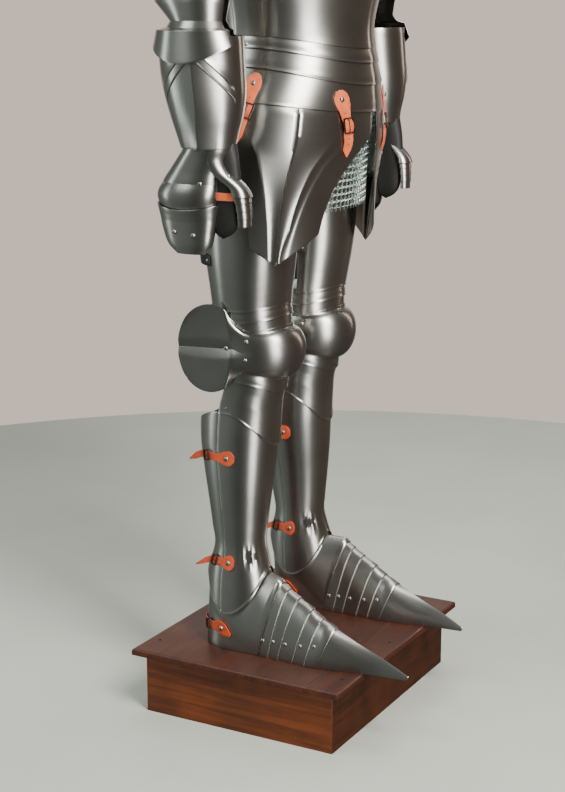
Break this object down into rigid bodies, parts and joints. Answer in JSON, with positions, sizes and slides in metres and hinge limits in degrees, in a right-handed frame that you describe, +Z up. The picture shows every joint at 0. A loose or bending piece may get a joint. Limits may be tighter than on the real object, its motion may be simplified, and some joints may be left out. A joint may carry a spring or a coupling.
{
  "type": "suit of plate armour on a wooden plinth",
  "caption": "Full suit of plate armour, hollow and standing, with pointed sabatons, winged poleyns, tassets on leather straps, a mail skirt and a wooden plinth.",
  "frame": {"origin": "centre of the plinth's underside, on the floor", "axes": "+Z up, the suit faces -Y, the wearer's right side is -X"},
  "size_m": [0.717, 0.5185, 1.9575],
  "materials": {
    "steel": "satin brushed",
    "rings": "zinc-grey mail rings",
    "hip_leather": "smooth orange harness leather",
    "leg_leather": "smooth red-brown harness leather",
    "black_leather": "soft black glove leather",
    "board_wood": "dark stained and varnished",
    "box_wood": "red-brown stained and varnished"
  },
  "bodies": {
    "root": {"plinth_board": "board_wood", "plinth_box": "box_wood", "breastplate": "steel", "backplate": "steel", "bevor": "steel", "sallet": "steel", "mail_skirt": "rings", "fauld_lame_1": "steel", "fauld_lame_2": "steel", "fauld_lame_3": "steel", "sabaton_ankle_left": "steel", "sabaton_ankle_right": "steel", "sabaton_lames_left": "steel", "sabaton_lames_right": "steel", "sabaton_toe_left": "steel", "sabaton_toe_right": "steel", "sabaton_strap_left": "leg_leather", "sabaton_strap_right": "leg_leather", "greave_front_left": "steel", "greave_front_right": "steel", "greave_back_left": "steel", "greave_back_right": "steel", "greave_strap_left": "leg_leather", "greave_strap_right": "leg_leather", "knee_plate_left": "steel", "knee_plate_right": "steel", "knee_lame_lower_left": "steel", "knee_lame_lower_right": "steel", "poleyn_left": "steel", "poleyn_right": "steel", "knee_lame_upper_1_left": "steel", "knee_lame_upper_1_right": "steel", "knee_lame_upper_2_left": "steel", "knee_lame_upper_2_right": "steel", "cuisse_left": "steel", "cuisse_right": "steel", "tasset_left": "steel", "tasset_right": "steel", "tasset_strap_front_left": "hip_leather", "tasset_strap_front_right": "hip_leather", "tasset_strap_outer_left": "hip_leather", "tasset_strap_outer_right": "hip_leather", "pauldron_left": "steel", "pauldron_right": "steel", "rerebrace_left": "steel", "rerebrace_right": "steel", "couter_left": "steel", "couter_right": "steel", "gauntlet_cuff_left": "steel", "gauntlet_cuff_right": "steel", "glove_left": "black_leather", "glove_right": "black_leather", "finger_plate_left": "steel", "finger_plate_right": "steel", "knuckle_plate_left": "steel", "knuckle_plate_right": "steel", "hand_plate_left": "steel", "hand_plate_right": "steel", "thumb_plate_left": "steel", "thumb_plate_right": "steel"}
  },
  "joints": []
}
